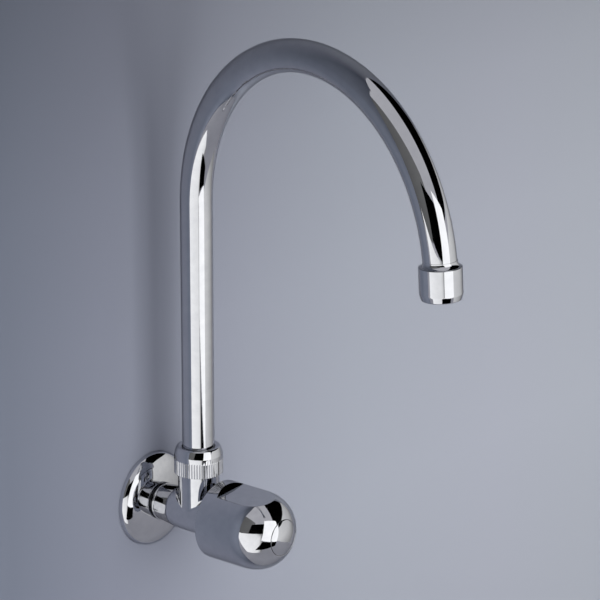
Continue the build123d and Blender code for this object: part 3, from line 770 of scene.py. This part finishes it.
def nut_knurled():
    """The ring nut. Its knurl's radius drops by a V at each gap, with softened edges; the V ends at
    the nut's base and at the band."""
    band_r = NUT_R - BAND_STEP
    points, normals = outline(
        (NUT_THREAD_R + FREE_GAP, NUT_BASE), (NUT_R, NUT_BASE, NUT_BASE_ROUND),
        run((NUT_R, NUT_BASE + 0.25), (NUT_R, KNURL_TOP), KNURL_ROWS),
        (band_r, KNURL_TOP + BAND_STEP), (band_r, BAND_TOP - 0.2),
        arc((band_r, BAND_TOP), (SHOULDER_R, SHOULDER_TOP), SHOULDER_BOW),
        arc((SHOULDER_R, SHOULDER_TOP), (NUT_LIP_R, NUT_TOP), NUT_LIP_BOW)[1:],
        (NUT_BORE_R, NUT_TOP - NUT_DISH, TURNED_EDGE), (NUT_BORE_R, NUT_CEILING),
        (NUT_HOLLOW_R, NUT_CEILING), (NUT_HOLLOW_R, UPRIGHT_TOP),
        (NUT_THREAD_R + FREE_GAP, UPRIGHT_TOP),
    )
    pitch = 2 * np.pi * NUT_R / KNURL_TEETH
    across = np.array([KNURL_TOOTH_MIDDLE, *KNURL_CUT])
    drop = KNURL_DEPTH * np.array([0, *KNURL_CUT.values()])
    angle = (np.arange(KNURL_TEETH)[:, None] * pitch + across).ravel() / NUT_R
    grid, out = turned(points, normals, angle)
    radius, height = radius_and_height(grid)
    knurl = (height < KNURL_TOP + 0.01) & (radius > NUT_R - 0.2)
    grid = reach(grid, np.where(knurl, radius - np.tile(drop, KNURL_TEETH), radius))
    return grid, relief_normals(grid, out, knurl)


skin("knurled_nut", "spout_nut", tube_chrome, UPRIGHT, nut_knurled())


def neck_tube():
    """The swan neck: a tube's outline turned round its length s, then bent. Past the bend's start a
    section turns about the bend's axis by (s - start) / neck radius."""
    length = NECK_START + NECK_R * NECK_TURN
    inner = TUBE_R - TUBE_WALL
    stops = np.concatenate([np.linspace(TUBE_BASE + 1, NECK_START, RISER_ROWS)[:-1],
                            np.linspace(NECK_START, length - 1, BEND_ROWS)])
    wall = np.stack([np.full_like(stops, TUBE_R), stops], -1)
    bore = np.stack([np.full_like(stops, inner), stops], -1)[::-1]
    points, normals = outline(
        (inner, TUBE_BASE), (TUBE_R, TUBE_BASE, TURNED_EDGE), curve(wall, wall * [1, 0]),
        (TUBE_R, length, TURNED_EDGE), (inner, length, TURNED_EDGE), curve(bore, bore * [-1, 0]),
    )
    grid, out = turned(points, normals, around(TUBE_SIDES))
    bend = np.maximum(grid[..., 2] - NECK_START, 0) / NECK_R
    lift = np.minimum(grid[..., 2] - NECK_START, 0)
    from_axis = grid[..., 1] + NECK_R
    grid = np.stack([grid[..., 0], from_axis * np.cos(bend) - lift * np.sin(bend) - NECK_R,
                     from_axis * np.sin(bend) + lift * np.cos(bend) + NECK_START], -1)
    out = np.stack([out[..., 0], out[..., 1] * np.cos(bend) - out[..., 2] * np.sin(bend),
                    out[..., 1] * np.sin(bend) + out[..., 2] * np.cos(bend)], -1)
    return grid, out


skin("swan_neck", "spout_tube", tube_chrome, SWUNG, neck_tube())

buried_r = TUBE_R - TUBE_WALL / 2
ferrule = outline(
    arc((FLARE_LIP_R, -COVER - FLARE), (FLARE_FOOT_R, -COVER - TURNED_EDGE), -FLARE_BOW),
    (FLARE_FOOT_R, -COVER), (FERRULE_R, -COVER), (FERRULE_R, FERRULE_END, TURNED_EDGE),
    (TUBE_R - TUBE_WALL, FERRULE_END, TURNED_EDGE), (TUBE_R - TUBE_WALL, 0), (buried_r, 0),
    (buried_r, -COVER - FLARE),
)
skin("outlet_ferrule", "outlet_collar", tube_chrome, OUTLET, turned(*ferrule, around(SLEEVE_SIDES)))

sleeve = outline(
    (FERRULE_R + FREE_GAP, -COVER, FINE_EDGE), (SLEEVE_R, -COVER, POLISHED_EDGE),
    (SLEEVE_R, SLEEVE_END - SLEEVE_CHAMFER, SLEEVE_CHAMFER_ROUND),
    (SLEEVE_R - SLEEVE_CHAMFER_IN, SLEEVE_END, SLEEVE_RIM_ROUND),
    (SLEEVE_LIP_R, SLEEVE_END, POLISHED_EDGE), (SLEEVE_LIP_R, SLEEVE_END - SLEEVE_LIP),
    (SLEEVE_BORE_R, SLEEVE_END - SLEEVE_LIP), (SLEEVE_BORE_R, FERRULE_END),
    (FERRULE_R + FREE_GAP, FERRULE_END),
)
skin("aerator_sleeve", "aerator_housing", tube_chrome, OUTLET,
     turned(*sleeve, around(SLEEVE_SIDES)))

knob_dome = spline(
    [(radius, KNOB_BACK + height) for radius, height in
     ((KNOB_R, KNOB_STRAIGHT), KNOB_SHOULDER, KNOB_CROWN, (0, KNOB_LENGTH))], (0, 1), (-1, 0), 48,
)


def dome_height(radius):
    """The knob's height at a radius of its dome."""
    return np.interp(radius, knob_dome[::-1, 0], knob_dome[::-1, 1])


cap_seat = dome_height(CAP_R)


def knob_shell():
    """The knob: a round outline, cut by two flats that end in steep ramps. A flat's distance from
    the axis at angle a is its height over |sin a|, and on its ramp the height grows; the lesser of
    that distance and the round outline holds, softened where they meet. Rows and columns lie
    closest where they meet."""
    groove_r = CAP_R + CAP_GAP
    bevel_r = groove_r + GROOVE_BEVEL
    pin_hole_r = CAP_PIN_R + FREE_GAP
    foot = KNOB_BACK + FLAT_START

    # Rows up the outside: few behind the ramp, close along it and about its foot, wider on the flat
    stops = np.concatenate([
        KNOB_BACK + np.array([1.0, 3.0, 5.5]), foot - np.linspace(RAMP_LENGTH, 0.06, 36),
        foot + np.array([-0.02, 0, 0.02, 0.06]),
        KNOB_BACK + np.linspace(FLAT_START + 0.6, KNOB_STRAIGHT, 14)[:-1],
    ])
    side = np.stack([np.full_like(stops, KNOB_R), stops], -1)
    points, normals = outline(
        (ADAPTER_BORE_R, HUB_END, POLISHED_EDGE), (HUB_R, HUB_END, POLISHED_EDGE),
        (HUB_R, CAVITY_FLOOR, KNOB_EDGE), (CAVITY_R, CAVITY_FLOOR, CAVITY_ROUND),
        (CAVITY_R, KNOB_BACK, KNOB_EDGE), (KNOB_R, KNOB_BACK, KNOB_EDGE),
        curve(side, side * [1, 0]), knob_dome[knob_dome[:, 0] > bevel_r + 0.1],
        (bevel_r, dome_height(bevel_r), GROOVE_EDGE), (groove_r, cap_seat - CAP_EDGE, GROOVE_EDGE),
        (groove_r, cap_seat - CAP_THICK, FINE_EDGE), (pin_hole_r, cap_seat - CAP_THICK, FINE_EDGE),
        (pin_hole_r, WEB_FRONT), (SCREW_HOLE_R, WEB_FRONT), (SCREW_HOLE_R, WEB_OUT),
        (ADAPTER_BORE_R, WEB_OUT),
    )
    over_flat = np.radians(np.arange(-FLAT_REACH, FLAT_REACH + 0.1, FLAT_COLUMN))
    between = np.radians(np.arange(ROUND_START, 180 - ROUND_START + 0.1, ROUND_COLUMN))
    both = np.concatenate([over_flat, between])
    angle = np.concatenate([both + np.pi / 2, both + 1.5 * np.pi])
    grid, out = turned(points, normals, angle)
    radius, height = radius_and_height(grid)
    flat = FLAT_HEIGHT + RAMP_SLOPE * np.maximum(foot - height, 0)
    flat = flat / np.maximum(abs(np.sin(angle)), 0.1)
    cut = np.minimum(radius, flat)
    cut -= np.maximum(FLAT_SOFTNESS - abs(radius - flat), 0) ** 2 / (4 * FLAT_SOFTNESS)
    outside = np.arange(len(points)) >= np.argmax(points[:, 0] > KNOB_R - 0.001)
    changed = np.where(outside[:, None], cut, radius)
    grid = reach(grid, changed)
    return grid, relief_normals(grid, out, radius - changed > 1e-6)


skin("knob_shell", "knob", cast_chrome, KNOB_AXES, knob_shell())


def cap_domed():
    """The index cap: a disc with a hollow pin behind it, under a round dome of radius (r squared +
    crown squared) / (2 crown)."""
    rim, back = cap_seat + CAP_PROUD, cap_seat - CAP_THICK
    pin_end, pin_bore_r = back - CAP_PIN_LENGTH, CAP_PIN_R - CAP_PIN_WALL
    dome_foot_r = CAP_R - CAP_EDGE
    dome_r = (dome_foot_r**2 + CAP_CROWN**2) / (2 * CAP_CROWN)
    spin = np.linspace(np.arcsin(dome_foot_r / dome_r), 0, 25)[:, None]
    out = np.concatenate([np.sin(spin), np.cos(spin)], 1)
    dome = curve(np.array([0, rim + CAP_CROWN - dome_r]) + dome_r * out, out)
    points, normals = outline(
        (0, back), (pin_bore_r, back), (pin_bore_r, pin_end, TURNED_EDGE),
        (CAP_PIN_R, pin_end, TURNED_EDGE), (CAP_PIN_R, back), (CAP_R, back, TURNED_EDGE),
        (CAP_R, rim - CAP_EDGE, FINE_EDGE), dome, closed=False,
    )
    return (*turned(points, normals, around(SLEEVE_SIDES)), False)


skin("cap_domed", "index_cap", tube_chrome, KNOB_AXES, cap_domed())

# Finishes of the pieces that stay as they were packed

# Turned brass: warm and satin, with lines round the barrel's axis, or the upright's on the foot
brass_across = turned_metal("turned_brass", BRASS_COLOURS, roughness=0.24, axis="Y")
brass_upright = turned_metal("turned_brass_foot", BRASS_COLOURS, roughness=0.24, axis="Z")

# Turned stainless steel: a cooler, softer satin
steel = turned_metal("satin_stainless_steel", ("#B4B4B2", "#C6C6C4"), roughness=0.28, axis="Y")

# Moulded nitrile rubber: matt and nearly black
rubber = moulded("black_nitrile_rubber", ("#141414", "#1E1E1D"), roughness=0.62,
                 grain=RUBBER_GRAIN, height=RUBBER_GRAIN_HEIGHT)

# Vulcanised fibre punched from sheet: matt red-brown, its fibres lying in the sheet's plane
fibre = moulded("red_vulcanised_fibre", ("#5A2A1E", "#7A3C2A"), roughness=0.7,
                grain=FIBRE_LENGTH, height=FIBRE_HEIGHT, stretch=(1, 0.25, 1))

# Moulded nylon and acetal: milky white and light grey, with a slight gloss
nylon = moulded("natural_nylon", ("#DEDACB", "#E8E4D8"), roughness=0.42,
                grain=NYLON_GRAIN, height=NYLON_GRAIN_HEIGHT)
acetal = moulded("grey_acetal", ("#BCBFC4", "#C8CBCF"), roughness=0.36,
                 grain=ACETAL_GRAIN, height=ACETAL_GRAIN_HEIGHT)

packed_finishes = {
    brass_across: ["headwork_body", "headwork_spindle", "valve_jumper"],
    brass_upright: ["spout_foot"],
    steel: ["spindle_clip", "washer_screw", "knob_screw", "aerator_screen"],
    rubber: ["flange_gasket", "spindle_o_ring_inner", "spindle_o_ring_outer", "valve_washer",
             "spout_o_ring_lower", "spout_o_ring_upper", "aerator_washer"],
    fibre: ["headwork_gasket"],
    nylon: ["knob_adapter", "slip_washer_lower", "slip_washer_upper"],
    acetal: ["aerator_insert"],
}
for finish, nodes in packed_finishes.items():
    for node in nodes:
        frame["nodes"][node].data.materials[0] = finish


# Stage: wall, floor, the sheets that the metal mirrors, world and lamp

def flat_sheet(name, corners):
    """A flat stage sheet through four corners. Its UV map runs along its first and last edge."""
    mesh = bpy.data.meshes.new(name)
    mesh.from_pydata([list(map(float, corner)) for corner in corners], [], [(0, 1, 2, 3)])
    mesh.uv_layers.new(name="across")
    mesh.uv_layers["across"].data.foreach_set("uv", [0, 0, 1, 0, 1, 1, 0, 1])
    sheet = bpy.data.objects.new(name, mesh)
    bpy.context.scene.collection.objects.link(sheet)
    return sheet


def one_sided_paint(name, across, upward):
    """Matt paint in two soft washes, one along the wall and one up it. On the wall the washes are
    painted light and shade, darker towards the left and higher up. Its back is clear, so that a
    view from behind looks through it."""
    material, tree = new_material(name)
    axes = add(tree, "SeparateXYZ", Vector=add(tree, "TexCoord").outputs["Object"])
    along = add(tree, "MapRange", Value=axes.outputs["X"],
                From_Min=WALL_ALONG[0], From_Max=WALL_ALONG[1])
    above = add(tree, "MapRange", Value=axes.outputs["Z"],
                From_Min=WALL_ABOVE[0], From_Max=WALL_ABOVE[1])
    both = add(tree, "Mix", {"data_type": "RGBA", "blend_type": "MULTIPLY"}, Factor=1.0,
               _6=add(tree, "ValToRGB", stops=across, Fac=along.outputs[0]).outputs["Color"],
               _7=add(tree, "ValToRGB", stops=upward, Fac=above.outputs[0]).outputs["Color"])
    paint = add(tree, "BsdfDiffuse", Color=both.outputs[2])
    side = add(tree, "NewGeometry").outputs["Backfacing"]
    clear = add(tree, "BsdfTransparent").outputs[0]
    shown = add(tree, "MixShader", Fac=side, _1=paint.outputs[0], _2=clear)
    add(tree, "OutputMaterial", Surface=shown.outputs[0])
    return material


def studio_sheet(name, distance, corners, lights, fade):
    """A flat sheet that only the metal mirrors, at a distance along the middle of its corners'
    directions. Its light goes evenly from its left edge's to its right edge's, and fades there
    where it has a fade."""
    turn, rise = np.radians(np.array(corners, float)).T
    ways = np.stack([-np.sin(turn) * np.cos(rise), -np.cos(turn) * np.cos(rise), np.sin(rise)], -1)
    middle = ways.sum(0) / np.linalg.norm(ways.sum(0))
    sheet = flat_sheet(name, STUDIO_MIDDLE + ways * (distance / (ways @ middle))[:, None])
    material, tree = new_material(name)
    spot = add(tree, "SeparateXYZ", Vector=add(tree, "UVMap", {"uv_map": "across"}).outputs[0])
    along = spot.outputs["X"]
    light = add(tree, "MapRange", Value=along, To_Min=lights[0], To_Max=lights[1]).outputs[0]
    if fade:
        dim = add(tree, "MapRange", {"interpolation_type": "SMOOTHSTEP"}, Value=along,
                  From_Min=1 - fade, From_Max=1.0, To_Min=1.0, To_Max=FADED_LIGHT)
        light = add(tree, "Math", {"operation": "MULTIPLY"}, _0=light, _1=dim.outputs[0]).outputs[0]
    glow = add(tree, "Emission", Color=(1, 1, 1, 1), Strength=light)
    add(tree, "OutputMaterial", Surface=glow.outputs[0])
    sheet.data.materials.append(material)
    sheet.visible_camera = False
    sheet.visible_diffuse = False
    sheet.visible_shadow = False


wall = flat_sheet("wall", [(x, WALL_GAP, z) for x, z in (
    (WALL_LEFT, FLOOR_LEVEL), (WALL_RIGHT, FLOOR_LEVEL),
    (WALL_RIGHT, WALL_TOP), (WALL_LEFT, WALL_TOP))])
floor = flat_sheet("floor", [(x, y, FLOOR_LEVEL) for x, y in (
    (-FLOOR_HALF, FLOOR_FRONT), (FLOOR_HALF, FLOOR_FRONT),
    (FLOOR_HALF, WALL_GAP), (-FLOOR_HALF, WALL_GAP))])
# The wall's washes are painted light and shade, darker towards the left and higher up; the floor's
# are nearly even
wall.data.materials.append(one_sided_paint("grey_blue_wall_paint_and_painted_shade", WALL_COLOUR_AND_SHADE_ACROSS, WALL_PAINTED_SHADE_UPWARD))
floor.data.materials.append(one_sided_paint("matt_pale_floor_paint", FLOOR_ACROSS, FLOOR_UPWARD))

for name, settings in STUDIO_SHEETS.items():
    studio_sheet(name, *settings)

# World: plain pale surroundings, lighter above than below
world = bpy.data.worlds.new("plain_studio")
world.use_nodes = True
tree = world.node_tree
tree.nodes.clear()
height = add(tree, "SeparateXYZ", Vector=add(tree, "TexCoord").outputs["Generated"]).outputs["Z"]
share = add(tree, "MapRange", Value=height, From_Min=-1.0, From_Max=1.0).outputs[0]
shade = add(tree, "ValToRGB", stops=SURROUNDINGS, Fac=share).outputs["Color"]
glow = add(tree, "Background", Color=shade, Strength=1.0)
add(tree, "OutputWorld", Surface=glow.outputs[0])
bpy.context.scene.world = world

# The lamp is hidden from the mirror, which has its own sheets
lamp_data = bpy.data.lights.new("lamp_front", "AREA")
lamp_data.shape = "RECTANGLE"
lamp_data.size = LAMP_WIDTH
lamp_data.size_y = LAMP_HEIGHT
lamp_data.energy = LAMP_POWER
lamp = bpy.data.objects.new("lamp_front", lamp_data)
bpy.context.scene.collection.objects.link(lamp)
lamp.location = LAMP_PLACE
lamp.rotation_euler = (LAMP_AIM - lamp.location).to_track_quat("-Z", "Y").to_euler()
lamp.visible_glossy = False
lamp.visible_camera = False
